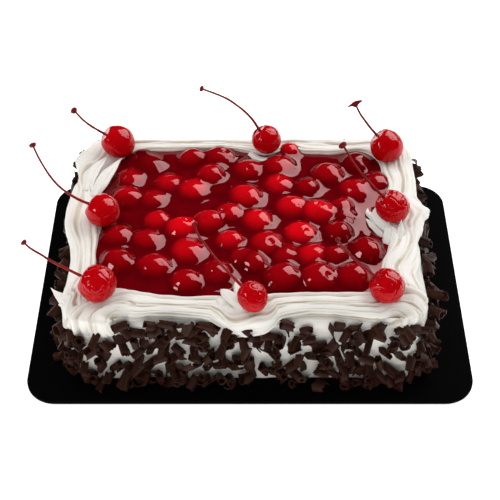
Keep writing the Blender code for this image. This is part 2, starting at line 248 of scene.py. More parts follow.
CAKE_BOX = (-0.116, 0.112, -0.084, 0.085)
CAKE_CORNERS = (0.016, 0.016, 0.016, 0.016)
CAKE_TOP = 0.0575
CAKE_FOOT = 0.0033
CAKE_ROUNDING = 0.004
ROUNDING_DEPTH = 0.0022
ICING_RELIEF = 0.0011
SIDE_STEPS = (12, 120, 90)
SIDE_LEVELS = 36
GAP = 0.0003


def inside_corners(box):
    """A rectangle's corners from the south west one on, and which way its inside lies from each."""
    west, east, south, north = box
    return (west, south, 1, 1), (east, south, -1, 1), (east, north, -1, -1), (west, north, 1, -1)


def outline(box, corners, steps):
    """Points and outward normals round a rectangle with rounded corners, from its south west corner on."""
    corner_steps, long_steps, short_steps = steps
    arcs = []
    for turn, ((x, y, right, up), radius) in enumerate(zip(inside_corners(box), corners)):
        angle = math.pi + (turn + np.linspace(0, 1, corner_steps + 1)) * math.pi / 2
        normal = np.stack([np.cos(angle), np.sin(angle)], axis=1)
        middle = np.array([x + right * radius, y + up * radius])
        arcs.append((middle + normal * radius, normal))
    points, normals = [], []
    for turn, (arc, normal) in enumerate(arcs):
        points.append(arc)
        normals.append(normal)
        count = long_steps if turn % 2 == 0 else short_steps
        share = np.arange(1, count)[:, None] / count
        points.append(arc[-1] * (1 - share) + arcs[(turn + 1) % 4][0][0] * share)
        normals.append(np.repeat(normal[-1:], count - 1, axis=0))
    return np.concatenate(points), np.concatenate(normals)


def grid_faces(rows, columns, close_rows=False, close_columns=False):
    """Quads between the points of a grid. A closed direction joins its last points to its first."""
    row = np.arange(rows if close_rows else rows - 1)
    column = np.arange(columns if close_columns else columns - 1)
    row, column = np.meshgrid(row, column, indexing="ij")
    row_after, column_after = (row + 1) % rows, (column + 1) % columns
    corners = (
        row * columns + column,
        row * columns + column_after,
        row_after * columns + column_after,
        row_after * columns + column,
    )
    return np.stack(corners, axis=-1).reshape(-1, 4).tolist()


def tube_faces(rows, columns):
    """The faces of a grid that is closed across its columns, and of its two ends."""
    last = (rows - 1) * columns
    sides = grid_faces(rows, columns, close_columns=True)
    return [*sides, list(range(columns)), list(range(last, last + columns))]


def set_surface_values(mesh, values):
    """Gives a mesh numbers that its material reads. values holds a number for each point under each name."""
    for name, numbers in values.items():
        attribute = mesh.attributes.new(name, "FLOAT", "POINT")
        attribute.data.foreach_set("value", np.asarray(numbers, np.float32).ravel())


def add_piece(name, points, faces, material, values):
    """A new smooth piece from points, faces and surface values."""
    mesh = bpy.data.meshes.new(name)
    mesh.from_pydata(np.asarray(points).tolist(), [], faces)
    set_surface_values(mesh, values)
    piece = bpy.data.objects.new(name, mesh)
    bpy.context.scene.collection.objects.link(piece)
    bpy.ops.object.select_all(action="DESELECT")
    bpy.context.view_layer.objects.active = piece
    piece.select_set(True)
    bpy.ops.object.mode_set(mode="EDIT")
    bpy.ops.mesh.select_all(action="SELECT")
    bpy.ops.mesh.normals_make_consistent(inside=False)
    bpy.ops.object.mode_set(mode="OBJECT")
    bpy.ops.object.shade_smooth()
    piece.data.materials.append(material)
    return piece


def noise_at(points, wavelength, shift=0.0):
    """Blender's noise at each point, from about -1 to 1, with waves of that length in metres."""
    points = np.asarray(points)
    shape = points.shape[:-1]
    points = np.pad(points.reshape(-1, points.shape[-1]), ((0, 0), (0, 3 - points.shape[-1])))
    return np.array([noise.noise(p) for p in (points / wavelength + shift).tolist()]).reshape(shape)


levels = np.linspace(CAKE_FOOT, CAKE_TOP, SIDE_LEVELS)
side_points, side_normals = outline(CAKE_BOX, CAKE_CORNERS, SIDE_STEPS)
rings = np.zeros((SIDE_LEVELS, len(side_points), 3))
rings[:, :, :2] = side_points
rings[:, :, 2] = levels[:, None]
smear = noise_at(rings * (1.0, 1.0, 2.6), 0.019)
drag = noise_at(rings * (1.0, 1.0, 3.0), 0.006, 7.0)
round_off = -ROUNDING_DEPTH * np.clip((levels - CAKE_TOP + CAKE_ROUNDING) / CAKE_ROUNDING, 0, 1) ** 2
push = ICING_RELIEF * (0.8 * smear + 0.45 * drag) + round_off[:, None]
rings[:, :, :2] += side_normals[None] * push[:, :, None]

icing_material, tree, shader = new_material("white_icing")
soft = place_noise(tree, 90.0, 4.0, 0.6, (1.0, 1.0, 2.5))
grain = place_noise(tree, 900.0, 3.0, 0.6)
set_sockets(tree, shader, {
    "Base Color": blend_colours(tree, soft, (0.80, 0.77, 0.69), (0.90, 0.885, 0.84)),
    "Roughness": 0.45 + grain * 0.15,
    "Specular IOR Level": 0.35,
    "Subsurface Weight": 0.25,
    "Subsurface Radius": (0.004, 0.003, 0.002),
    "Normal": bump(tree, soft * 0.8 + grain * 0.2, 0.5, 0.0012),
})
iced_faces = tube_faces(SIDE_LEVELS, len(side_points))
iced_block = add_piece("iced_block", rings.reshape(-1, 3), iced_faces, icing_material, {})
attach(iced_block, "root")
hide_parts("iced_cake")


# The piped border: whipped cream pressed from a bag with a wide ribbed nozzle, laid on the cake's top edge
# in lengths that turn round a hook at the front corners. Its ribs run along it, and it sags over the edge
# where more was piped.

OPENING_BOX = (-0.098, 0.091, -0.065, 0.073)
OPENING_CORNERS = (0.014, 0.012, 0.020, 0.034)
BORDER_FOOT = CAKE_TOP + GAP
BORDER_SHOULDER = 0.0606
BORDER_RISE = 0.0048
BORDER_HEM = 0.0583
LOWEST_HEM = 0.041
HEM_SLOPE = 5.0
HEM_OVERHANG = 0.001
TOP_SQUARENESS = 0.72
HEM_SQUARENESS = 0.6
# Creases between the ribs follow each other at this share of the way from the inner edge to the hem. Each
# has a depth, a half width as a share, a step up or down beside it and a shift along the row, which repeats.
# They are shallower on the sides and at the back.
FIRST_CREASE = 0.09
CREASE_PITCH = 0.185
CREASE_NUMBERS = range(-5, 10)
CREASES = (
    (0.0013, 0.024, 0.0006, 0.00),
    (0.0022, 0.032, -0.0013, -0.06),
    (0.0030, 0.040, 0.0017, 0.03),
    (0.0015, 0.025, -0.0010, -0.05),
)
SIDE_CREASES = 0.65
# A crease this deep or deeper is painted with the full crease shade
FULL_CREASE = 0.0016
# Halfway between these runs a fine one
FINE_CREASE = (0.0007, 0.016, 0.0, 0.015)
# The ribbon's outer edge in mm, round from the front left: a place on the cake's edge, how far the ribbon
# stands out from it there, and how far its hem hangs
OUTER_EDGE = (
    (-110, -84, 4.5, 14.0), (-103, -84, 4.5, 15.0), (-98, -84, 5.5, 15.5), (-86, -84, 4.5, 13.0),
    (-79, -84, 2.5, 7.5), (-73, -84, 0.0, 3.0), (-65, -84, -2.5, 0.5), (-50, -84, -2.5, 0.3),
    (-30, -84, -0.5, 0.8), (-18, -84, 2.5, 4.0), (-9, -84, 5.0, 12.0), (0, -84, 5.5, 14.5),
    (8, -84, 5.0, 12.5), (18, -84, 1.0, 3.0), (26, -84, -2.5, 0.2), (38, -84, -4.6, 0.0),
    (55, -84, -4.4, 0.0), (70, -84, -1.0, 1.0), (82, -84, 1.5, 3.0), (92, -84, 3.0, 6.0),
    (101, -84, 2.5, 4.0), (112, -73, -0.5, 2.0), (112, -64, -1.5, 1.0), (112, -53, -6.0, 0.0),
    (112, -42, -3.7, 0.0), (112, -28, -3.5, 0.0), (112, -14, -1.0, 0.5), (112, -3, 3.5, 3.0),
    (112, 9, 6.5, 4.0), (112, 17, 5.5, 3.0), (112, 24, 1.7, 0.5), (112, 37, 2.0, 0.5),
    (112, 61, 1.5, 0.5), (112, 76, 2.0, 0.5), (90, 85, 2.0, 0.5), (63, 85, 1.0, 0.3),
    (10, 85, 1.0, 0.3), (-45, 85, 0.5, 0.3), (-76, 85, 1.5, 0.3), (-92, 85, 3.0, 1.0),
    (-116, 78, 2.6, 1.0), (-116, 64, 7.0, 2.5), (-116, 52, 4.0, 1.5), (-116, 44, 2.5, 1.0),
    (-116, 36, 5.0, 2.0), (-116, 26, 7.0, 2.5), (-116, 14, 8.2, 3.0), (-116, 1, 8.2, 3.0),
    (-116, -7, 6.5, 2.5), (-116, -18, 2.0, 1.0), (-116, -30, 0.0, 0.5), (-116, -42, -0.5, 0.5),
    (-116, -56, 0.2, 1.0), (-116, -67, 3.0, 5.0), (-116, -73, 0.5, 7.0), (-116, -78, 3.0, 10.0),
)
# Its inner edge in mm: a place on the opening's edge, and how far the ribbon stands in from it there
INNER_EDGE = (
    (-86, -65, 8.5), (-78, -65, 5.0), (-69, -65, 2.0), (-56, -65, -1.0), (-42, -65, -3.0),
    (-21, -65, -2.0), (0, -65, -1.0), (35, -65, 1.0), (73, -65, 2.0), (88, -62, 5.0), (91, -50, 9.0),
    (91, -37, 6.0), (91, -28, 2.2), (91, -16, 0.0), (91, -10, 2.0), (91, -2, 7.0), (91, 6, 9.5),
    (91, 13, 5.0), (91, 20, 0.0), (91, 35, -4.0), (91, 50, 0.0), (85, 67, -1.0), (76, 73, -1.0),
    (63, 73, 5.5), (50, 73, 3.5), (37, 73, 1.5), (31, 73, -3.0), (24, 73, -1.0), (18, 73, 4.0),
    (6, 73, 4.0), (-2, 73, 1.0), (-10, 73, -3.0), (-45, 73, -3.0), (-68, 73, -2.0), (-88, 63, -2.0),
    (-98, 39, -5.0), (-98, 28, -8.0), (-98, 18, -6.0), (-98, 9, 0.0), (-98, -8, 0.0), (-98, -24, -2.0),
    (-98, -37, -1.0), (-98, -50, 0.0), (-94, -61, 3.0),
)
RIBBON_SOFTNESS = 0.0030
WALL_STEPS = 12
TOP_STEPS = 200
HEM_STEPS = 80
# Where a length of piping starts or ends with a hook: x and y beside its eye, how far the eye is from the
# inner edge, and which way round the cake it runs on from there
HOOKS = (
    (-0.083, -0.084, 0.0290, 1),
    (0.093, -0.084, 0.0290, -1),
)
HOOK_RUN = 0.020
EYE_DEPTH = 0.0042
# Where the ribs slant across the border: x, y, reach and slant
SLANTS = (
    (-0.114, 0.060, 0.020, -0.75),
    (-0.004, -0.084, 0.012, 0.50),
    (0.112, 0.014, 0.012, 0.50),
    (0.112, -0.038, 0.030, -0.28),
)
BORDER_STEPS = (28, 190, 130)
BORDER_ACROSS = 110


def lengths_along(points):
    """How far along a closed line each of its points is, and the line's whole length."""
    step = np.linalg.norm(np.roll(points, -1, axis=0) - points, axis=1)
    return np.concatenate([[0.0], np.cumsum(step)[:-1]]), step.sum()


def round_edge(places, table):
    """A table's columns at each place of a closed outline, from millimetres, softened along it."""
    along, whole = lengths_along(places)
    table = np.array(table) / 1000
    at = np.array([along[np.hypot(*(places - row[:2]).T).argmin()] for row in table])
    order = at.argsort()
    apart = (along[:, None] - along[None] + whole / 2) % whole - whole / 2
    window = np.exp(-(apart / RIBBON_SOFTNESS) ** 2)
    window /= window.sum(axis=1, keepdims=True)
    return [window @ np.interp(along, at[order], column[order], period=whole) for column in table.T[2:]]


def border_sections(width, swell, hem, rise):
    """Each station's section, from the foot of the inner wall to the hem, in even steps: out, up, and how
    far across from the inner edge each point is."""
    shape = (len(width), 1)
    reach = (width + swell).reshape(shape)
    tuck = np.minimum(width.reshape(shape) + GAP, reach - GAP)
    wall = np.linspace(BORDER_FOOT, BORDER_SHOULDER, WALL_STEPS)[None] * np.ones(shape)
    angle = math.pi * (1 - np.linspace(0, 1, TOP_STEPS))[None]
    across = np.sign(np.cos(angle)) * np.abs(np.cos(angle)) ** TOP_SQUARENESS
    top_out = reach / 2 * (1 + across)
    top_up = BORDER_SHOULDER + rise.reshape(shape) * np.abs(np.sin(angle)) ** TOP_SQUARENESS
    angle = math.pi / 2 * np.linspace(0, 1, HEM_STEPS)[None]
    low_out = tuck + (reach - tuck) * np.cos(angle).clip(0, 1) ** HEM_SQUARENESS
    low_up = BORDER_SHOULDER - (BORDER_SHOULDER - hem.reshape(shape)) * np.sin(angle)
    out = np.concatenate([0 * wall[:, :-1], top_out, low_out[:, 1:]], axis=1)
    up = np.concatenate([wall[:, :-1], top_up, low_up[:, 1:]], axis=1)
    step = np.hypot(np.diff(out), np.diff(up))
    reached = np.concatenate([np.zeros(shape), np.cumsum(step, axis=1)], axis=1)
    even_out, even_up, far = np.zeros((3, len(width), BORDER_ACROSS))
    for k in range(len(width)):
        at = np.linspace(0, reached[k, -1], BORDER_ACROSS)
        even_out[k] = np.interp(at, reached[k], out[k])
        even_up[k] = np.interp(at, reached[k], up[k])
        far[k] = at - (BORDER_SHOULDER - BORDER_FOOT)
    return even_out, even_up, far, tuck[:, 0]


def smooth_step(x):
    """Runs smoothly from 0 at 0 to 1 at 1, and is level on both sides."""
    x = np.clip(x, 0, 1)
    return x * x * (3 - 2 * x)


inner, _ = outline(OPENING_BOX, OPENING_CORNERS, BORDER_STEPS)
outer, outward = outline(CAKE_BOX, CAKE_CORNERS, BORDER_STEPS)
along, round_length = lengths_along(outer)
swell, drop = round_edge(outer, OUTER_EDGE)
inset = round_edge(inner, INNER_EDGE)[0]
inward = (inner - outer) / np.linalg.norm(inner - outer, axis=1)[:, None]
inner = inner + inward * inset[:, None]
wander = noise_at(outer, 0.030, 3.0)
ripple = noise_at(outer, 0.007, 5.0)
swell = swell + 0.0004 * wander + 0.0002 * ripple
rise = BORDER_RISE + 0.0005 * wander
hem = np.maximum(BORDER_HEM - drop - 0.0004 * ripple, LOWEST_HEM)
# The hem hangs down only where the cream stands out past the icing
hem = np.maximum(hem, BORDER_FOOT + GAP - HEM_SLOPE * np.maximum(swell - HEM_OVERHANG, 0))
width = np.linalg.norm(outer - inner, axis=1)
out, up, far, tuck = border_sections(width, swell, hem, rise)
section_length = far[:, -1]

# The ribs: each point's share of the way across its ribbon, bent round the eye of a hook where one starts
share = far / section_length[:, None]
lift = np.ones_like(far)
eye = np.zeros_like(far)


def beyond_place(x, y):
    """How far along the outline each station is from the one nearest to a place."""
    start = np.argmin(np.hypot(outer[:, 0] - x, outer[:, 1] - y))
    beyond = (along - along[start] + round_length / 2) % round_length - round_length / 2
    return start, np.repeat(beyond[:, None], BORDER_ACROSS, axis=1)


for x, y, eye_far, way in HOOKS:
    start, beyond = beyond_place(x, y)
    beyond = beyond * way
    run_on = smooth_step(1 - beyond / HOOK_RUN)
    running = (beyond >= 0) & (beyond < HOOK_RUN)
    share = np.where(running, far / (section_length[:, None] * (1 - run_on) + eye_far * run_on), share)
    from_eye = np.hypot(beyond, np.minimum(far - eye_far, 0.25 * (far - eye_far)))
    hooked = (beyond < 0) * smooth_step((1.04 - from_eye / eye_far) / 0.08)
    share = share * (1 - hooked) + (1 - from_eye / eye_far) * hooked
    lift += 0.5 * smooth_step((0.92 - from_eye / eye_far) / 0.3) * (beyond < 0)
    eye = np.maximum(eye, np.exp(-((np.hypot((beyond + 0.0015) * 0.62, far - eye_far) / 0.0040) ** 2)))
for x, y, reach, slant in SLANTS:
    beyond = beyond_place(x, y)[1]
    share += slant * beyond * np.exp(-((beyond / reach) ** 4)) / section_length[:, None]

station_grid = np.stack([np.repeat(along[:, None], BORDER_ACROSS, axis=1), far], axis=-1)
share += 0.022 * noise_at(station_grid * (1.0, 1.2), 0.065, 11.0)
fade = noise_at(station_grid * (1.0, 1.3), 0.021, 31.0)
fine = noise_at(station_grid * (0.25, 1.0), 0.0022, 17.0)
relief = 0.00010 * fine + 0.0005 * noise_at(station_grid, 0.013, 37.0)
# Painted shade: how much darker each point is painted for lying in a crease
crease_shade = np.zeros_like(far)
vigour = SIDE_CREASES + (1 - SIDE_CREASES) * smooth_step((-outer[:, 1:] - 0.060) / 0.020)
for number in CREASE_NUMBERS:
    for half_step, row in ((0.0, CREASES[number % len(CREASES)]), (0.5, FINE_CREASE)):
        depth, half_width, step, shift = row
        beside = (share - FIRST_CREASE - (number + half_step) * CREASE_PITCH - shift) / half_width
        cut = np.exp(-np.abs(beside) ** 1.6) * np.clip(0.85 + 1.3 * fade * (-1) ** number, 0.15, 1.4)
        relief += vigour * (step * np.tanh(beside / 2) - depth * cut)
        crease_shade = np.maximum(crease_shade, vigour * cut * depth / FULL_CREASE)
relief = relief * lift - EYE_DEPTH * eye
relief *= smooth_step((far + 0.0015) / 0.003)
relief *= smooth_step((section_length[:, None] - far) / 0.002)

slope_out = np.gradient(out, axis=1)
slope_up = np.gradient(up, axis=1)
slope = np.hypot(slope_out, slope_up) + 1e-12
out = out - slope_up / slope * relief
up = up + slope_out / slope * relief


def place_section(out, up):
    """Turns out and up at each station into places in space."""
    inside = np.minimum(out, width[:, None])[..., None] / width[:, None, None]
    flat = inner[:, None] + (outer - inner)[:, None] * inside
    flat = flat + outward[:, None] * np.maximum(out - width[:, None], 0)[..., None]
    return np.concatenate([flat, up[..., None]], axis=-1)


# Peaks that the nozzle left when it was pulled away: x, y, z, reach, and the pull along each axis
PULLS = (
    (-0.1180, -0.0700, 0.0570, 0.0042, -0.0020, 0.0000, 0.0000),
    (-0.1160, -0.0800, 0.0500, 0.0046, -0.0020, -0.0015, -0.0010),
    (0.1150, 0.0110, 0.0610, 0.0040, 0.0050, 0.0010, 0.0010),
)
cream = place_section(out, up)
for x, y, z, reach, *pull in PULLS:
    weight = np.exp(-((cream - (x, y, z)) ** 2).sum(axis=-1) / reach**2)
    cream = cream + weight[..., None] * np.array(pull)

under_out = np.stack([tuck - 0.0001, tuck - 0.0001, 0 * width], axis=1)
under_up = np.stack([hem - 0.0001, BORDER_FOOT + 0 * width, BORDER_FOOT + 0 * width], axis=1)
cream = np.concatenate([cream, place_section(under_out, under_up)], axis=1)
# The eye of each hook is painted as dark as a crease, and the hidden underside fully, as painted shade
crease_shade = np.maximum(np.clip(crease_shade, 0, 1), eye)
crease_shade = np.concatenate([crease_shade, np.ones((len(outer), 3))], axis=1)
wall = smooth_step((0.0045 - far) / 0.004)
stain_noise = noise_at(station_grid, 0.011, 23.0)
stain = np.clip(wall * (0.35 + 0.65 * smooth_step(stain_noise * 1.6)), 0, 1)
stain = np.concatenate([stain, np.zeros((len(outer), 3))], axis=1)

cream_material, tree, shader = new_material("whipped_cream")
crease_shade_value = surface_value(tree, "crease_shade")
stain_value = surface_value(tree, "stain")
soft = place_noise(tree, 70.0, 3.0, 0.5)
grain = place_noise(tree, 1500.0, 2.0, 0.6)
cream_colour = blend_colours(tree, soft, (0.815, 0.79, 0.735), (0.87, 0.85, 0.805))
# Painted shade: the creases, the eyes of the hooks and the underside are painted a darker beige
cream_colour = blend_colours(tree, crease_shade_value**1.2 * 0.85, cream_colour, (0.66, 0.59, 0.47))
cream_colour = blend_colours(tree, stain_value * 0.55, cream_colour, (0.80, 0.22, 0.20))
set_sockets(tree, shader, {
    "Base Color": cream_colour,
    "Roughness": 0.38 + grain * 0.12,
    "Specular IOR Level": 0.4,
    "Subsurface Weight": 0.15,
    "Subsurface Radius": (0.004, 0.003, 0.002),
    "Normal": bump(tree, grain * 0.5 + soft, 0.25, 0.0005),
})
border_faces = grid_faces(len(outer), BORDER_ACROSS + 3, close_rows=True, close_columns=True)
border_values = {"crease_shade": crease_shade, "stain": stain}
border = add_piece("piped_border", cream.reshape(-1, 3), border_faces, cream_material, border_values)
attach(border, "root")
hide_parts("cream_border")


# The tongues: drawn-out ends of the piping, where a length was broken off beside a cherry. They are the same
# cream, and each lies on the border along a bent path and runs out to a tip.

# The path of each in mm, how wide it is at its root, and how blunt its tip is
TONGUES = (
    (((-106, -69, 60.0), (-116, -66, 59.0), (-121, -63, 60.0), (-125.5, -59.5, 62.5)), 5.6, 1.2),
    (((0, -81, 59.5), (-6, -76, 64.5), (-13, -70, 66.5), (-18.5, -64, 66.0)), 3.7, 9),
    (((-3, -80, 59.5), (-5.5, -73, 65.5), (-7, -65, 67.0), (-8, -56, 67.0)), 3.3, 9),
    (((-12, -79, 59.5), (-17, -73, 64.0), (-20, -69, 64.0)), 2.8, 4),
    (((-106, 24, 63.0), (-99, 42, 66.0), (-89.5, 60, 67.5)), 4.2, 4),
    (((-112, 30, 63.0), (-108, 46, 66.0), (-100, 61, 68.0)), 4.0, 5),
    (((102, -14, 60.0), (93, -7, 63.5), (87, -2, 65.5), (85, 5, 66.5), (86.5, 13, 67.0)), 4.8, 5),
    (((91, -13, 59.0), (84, -6, 62.5), (80, -1, 63.0), (77.5, 4, 62.5)), 3.4, 1.8),
    (((85, -1, 60.0), (82, 5, 62.5), (79, 10, 62.5), (79.5, 15, 62.0)), 3.0, 1.6),
    (((89, -19, 59.0), (90.5, -12, 63.5), (91.3, -7, 66.0), (91.6, -4, 68.5)), 3.6, 1.3),
    (((98, -21, 59.0), (99, -13, 64.0), (99.3, -8, 67.0), (99.5, -5, 70.0)), 3.6, 1.3),
    (((0, 71, 62.0), (7, 63.5, 62.5), (16, 63.5, 62.5), (23, 70, 62.0)), 2.6, 6),
    (((112, 4, 62.0), (117, 8, 61.5), (120, 11, 61.5)), 3.6, 3),
)
TONGUE_STATIONS = 40
TONGUE_SIDES = 36
TONGUE_RIBS = 5
RIB_SHARE = 0.10
WOBBLE_SHARE = 0.22
TONGUE_THICKNESS = 0.62
TIP_SIZE = 0.10


def path_between(corners, steps):
    """A smooth path through corner points, in even steps of its parameter."""
    corners = [Vector(c) for c in corners]
    ends = [corners[0] * 2 - corners[1], *corners, corners[-1] * 2 - corners[-2]]
    path = []
    for k in range(steps):
        at = k / (steps - 1) * (len(corners) - 1)
        n = min(int(at), len(corners) - 2)
        t = at - n
        a, b, c, d = ends[n : n + 4]
        bend = (a * 2 - b * 5 + c * 4 - d) * t**2 + (b * 3 - a - c * 3 + d) * t**3
        path.append((b * 2 + (c - a) * t + bend) / 2)
    return path


tongue_points, tongue_faces, tongue_crease_shades = [], [], []
for number, (corners, root, blunt) in enumerate(TONGUES):
    path = path_between(corners, TONGUE_STATIONS)
    side = Vector((0, 0, 1)).cross(path[1] - path[0]).normalized()
    start = len(tongue_points)
    for k, place in enumerate(path):
        share_along = k / (TONGUE_STATIONS - 1)
        way = (path[min(k + 1, TONGUE_STATIONS - 1)] - path[max(k - 1, 0)]).normalized()
        side = (side - way * side.dot(way)).normalized()
        upward = way.cross(side)
        size = root * (0.75 + 0.25 * math.sin(math.pi * share_along)) * (1 - share_along**blunt) + TIP_SIZE
        for j in range(TONGUE_SIDES):
            turn = 2 * math.pi * j / TONGUE_SIDES
            wobble = noise.noise(Vector((math.cos(turn), math.sin(turn), share_along * 4.0 + number * 7.0)))
            ribs = RIB_SHARE * math.cos(turn * TONGUE_RIBS + 0.9 * number + share_along)
            rib = 1 + ribs + WOBBLE_SHARE * wobble
            spread = (side * math.cos(turn) + upward * math.sin(turn) * TONGUE_THICKNESS) * size * rib
            tongue_points.append((place + spread) / 1000)
            # Painted shade: the grooves between a tongue's ribs are painted darker
            tongue_crease_shades.append(max(0.0, 1 - rib) * 1.5)
    tongue_faces += [[v + start for v in face] for face in tube_faces(TONGUE_STATIONS, TONGUE_SIDES)]
tongue_points = np.array([tuple(p) for p in tongue_points])
tongue_values = {"crease_shade": np.array(tongue_crease_shades).clip(0, 1), "stain": np.zeros(len(tongue_points))}
tongues = add_piece("cream_tongues", tongue_points, tongue_faces, cream_material, tongue_values)
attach(tongues, "root")
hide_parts("cream_border")


# The filling: whole pitted cherries in a thick clear red gel that coats them, spread inside the border. The
# gel's skin runs over each cherry and down into the dark pools between them.

GEL_LEVEL = 0.0612
GEL_FOOT = CAKE_TOP + GAP
GEL_COAT = 0.0003
GEL_SOFTNESS = 0.0026
GEL_REACH = 0.009
GEL_PITCH = 0.00066
GEL_START = 0.0720
GEL_ROUNDS = 36
GEL_STEP = 0.85
# The cherries that show, in mm: place, radius, and how light each one is
FRUIT = (
    (-40, -54, 61.5, 9.0, 0.35), (44, -51, 62.0, 10.2, 0.35), (20, -51, 61.0, 10.8, 0.3),
    (66, -50, 61.0, 10.2, 0.3), (-21, -46, 60.5, 9.0, 0.3), (-61, -41, 61.0, 10.3, 0.4),
    (3, -39, 63.5, 6.0, 0.4), (-85, -36, 60.0, 10.3, 0.3), (-5, -34, 63.0, 6.2, 0.35),
    (55, -32, 63.5, 6.6, 0.35), (41, -31, 60.5, 9.2, 0.75), (24, -30, 58.0, 8.6, 0.45),
    (76, -27, 63.0, 9.4, 0.25), (-40, -26, 57.0, 11.0, 0.65), (11, -20, 60.5, 9.8, 0.55),
    (-13, -18, 62.0, 8.0, 0.75), (-67, -16, 59.7, 8.2, 0.45), (-89, -10, 60.3, 9.2, 0.35),
    (33, -10, 60.5, 9.4, 1.0), (58, -9, 62.0, 8.2, 0.25), (-45, -6, 61.5, 9.3, 1.0),
    (-28, 0, 62.0, 9.4, 0.6), (5, 2, 60.0, 8.8, 0.8), (-62, 2, 61.0, 7.5, 0.7),
    (64, 6, 59.5, 5.8, 0.25), (-14, 9, 61.0, 7.5, 0.6), (46, 10, 60.5, 10.1, 0.95),
    (28, 15, 60.3, 9.5, 0.8), (62, 16, 61.5, 5.8, 0.5), (-66, 24, 57.5, 8.4, 0.55),
    (-83, 25, 60.0, 9.0, 0.5), (-3, 26, 60.5, 10.2, 0.7), (72, 32, 58.5, 10.3, 0.45),
    (-20, 32, 56.5, 6.0, 0.15), (-39, 33, 58.0, 9.6, 0.7), (39, 35, 61.5, 6.6, 0.3),
    (20, 39, 57.5, 9.0, 0.85), (-56, 40, 58.0, 8.5, 0.65), (87, 41, 59.7, 8.3, 0.3),
    (-83, 45, 58.0, 9.0, 0.4), (54, 48, 61.5, 9.7, 0.35), (-27, 48, 61.0, 8.5, 0.5),
    (-1, 54, 59.0, 9.2, 0.45), (21, 58, 58.0, 11.0, 0.4), (-69, 59, 57.5, 9.8, 0.15),
    (75, 60, 60.3, 9.8, 0.1), (-80, 62, 59.5, 6.0, 0.1), (-41, 65, 62.0, 8.2, 0.35),
    (-21, 67, 59.5, 10.4, 0.3), (-77, 71, 58.0, 5.2, 0.2), (28, 75, 61.5, 5.6, 0.8),
)
FRUIT_SEED = 3
DENTED_SHARE = 0.45
DENT_REACH = 0.0024
# Stemmed cherries: centre, radius, width against height, middle and tip of the stem, its end, its wrinkles
STEMMED_CHERRIES = {
    "cherry_front_left": (
        (-0.0950, -0.0648, 0.0720), 0.0119, 1.02,
        (-0.1227, -0.0560, 0.0830), (-0.1388, -0.0500, 0.0920), 0.0018, 0.9,
    ),
    "cherry_front_middle": (
        (0.0015, -0.0758, 0.0720), 0.0101, 0.92,
        (-0.0247, -0.0495, 0.0845), (-0.0343, -0.0340, 0.0920), 0.0016, 1.0,
    ),
    "cherry_front_right": (
        (0.0852, -0.0665, 0.0715), 0.0111, 1.00,
        (0.0628, -0.0594, 0.0900), (0.0538, -0.0566, 0.1010), 0.0015, 1.0,
    ),
    "cherry_right": (
        (0.0946, 0.0045, 0.0725), 0.0116, 0.96,
        (0.0721, 0.0127, 0.0960), (0.0615, 0.0238, 0.1075), 0.0024, 1.0,
    ),
    "cherry_back_right": (
        (0.0957, 0.0675, 0.0720), 0.0118, 0.98,
        (0.0800, 0.0735, 0.0890), (0.0735, 0.0780, 0.0985), 0.0016, 0.4,
    ),
    "cherry_back_middle": (
        (0.0115, 0.0741, 0.0725), 0.0103, 1.00,
        (-0.0080, 0.0806, 0.0970), (-0.0320, 0.0840, 0.1088), 0.0018, 0.35,
    ),
    "cherry_back_left": (
        (-0.0924, 0.0719, 0.0725), 0.0123, 0.93,
        (-0.1119, 0.0720, 0.0880), (-0.1195, 0.0702, 0.1000), 0.0021, 0.25,
    ),
    "cherry_left": (
        (-0.0974, 0.0011, 0.0725), 0.0114, 1.00,
        (-0.1258, 0.0090, 0.0880), (-0.1415, 0.0255, 0.1062), 0.0021, 0.15,
    ),
}


def clear_of_stemmed(centre, radius):
    """Moves a cherry of the filling away from every stemmed cherry that it would touch."""
    for place, big, *_ in STEMMED_CHERRIES.values():
        away = Vector(centre) - Vector(place)
        room = radius + big * 1.04 + 2 * GAP
        if away.length < room:
            flat = Vector((away.x, away.y, 0.0))
            needed = math.sqrt(max(room**2 - away.z**2, 0.0))
            centre = centre + flat.normalized() * (needed - flat.length)
    return centre


# Each cherry lies turned and tilted its own way, and some show the dent where their stone was pushed out
draw = random.Random(FRUIT_SEED)
shapes = []
for x, y, z, radius, tone in FRUIT:
    radius = radius / 1000
    place = clear_of_stemmed(Vector((x, y, z)) / 1000, radius * 0.9)
    tilt = Matrix.Rotation(draw.gauss(0, 0.5), 3, "Z") @ Matrix.Rotation(draw.gauss(0, 0.3), 3, "Y")
    radii = (radius, radius * draw.uniform(0.84, 0.98), radius * draw.uniform(0.80, 0.90))
    dent = Vector((draw.uniform(-1, 1), draw.uniform(-1, 0.4), draw.uniform(0.3, 1))).normalized()
    depth = draw.uniform(0.0010, 0.0022) if draw.random() < DENTED_SHARE else 0.0
    shapes.append((place, np.array(tilt), radii, place + dent * radii[1] * 0.95, depth))


def distances(points):
    """How far each point is from the skin of each cherry of the filling."""
    found = np.empty((len(points), len(shapes)), np.float32)
    for k, (place, tilt, radii, dent, depth) in enumerate(shapes):
        own = (points - np.array(place)) @ tilt
        scaled = own / np.array(radii)
        size = np.linalg.norm(scaled, axis=1) + 1e-9
        found[:, k] = size * (size - 1) / (np.linalg.norm(scaled / np.array(radii), axis=1) + 1e-9)
        if depth:
            from_dent = ((points - np.array(dent)) ** 2).sum(axis=1)
            found[:, k] += depth * np.exp(-from_dent / DENT_REACH**2)
    return found


def from_opening(x, y):
    """How far inside the border's inner edge a place is."""
    west, east, south, north = OPENING_BOX
    nearest = np.full(x.shape, 1.0)
    edge = np.minimum(np.minimum(x - west, east - x), np.minimum(y - south, north - y))
    for (corner_x, corner_y, right, upward), radius in zip(inside_corners(OPENING_BOX), OPENING_CORNERS):
        over_x = (corner_x + right * radius - x) * right
        over_y = (corner_y + upward * radius - y) * upward
        rounded = (over_x > 0) & (over_y > 0)
        nearest = np.where(rounded, np.minimum(nearest, radius - np.hypot(over_x, over_y)), nearest)
    return np.minimum(edge, nearest)


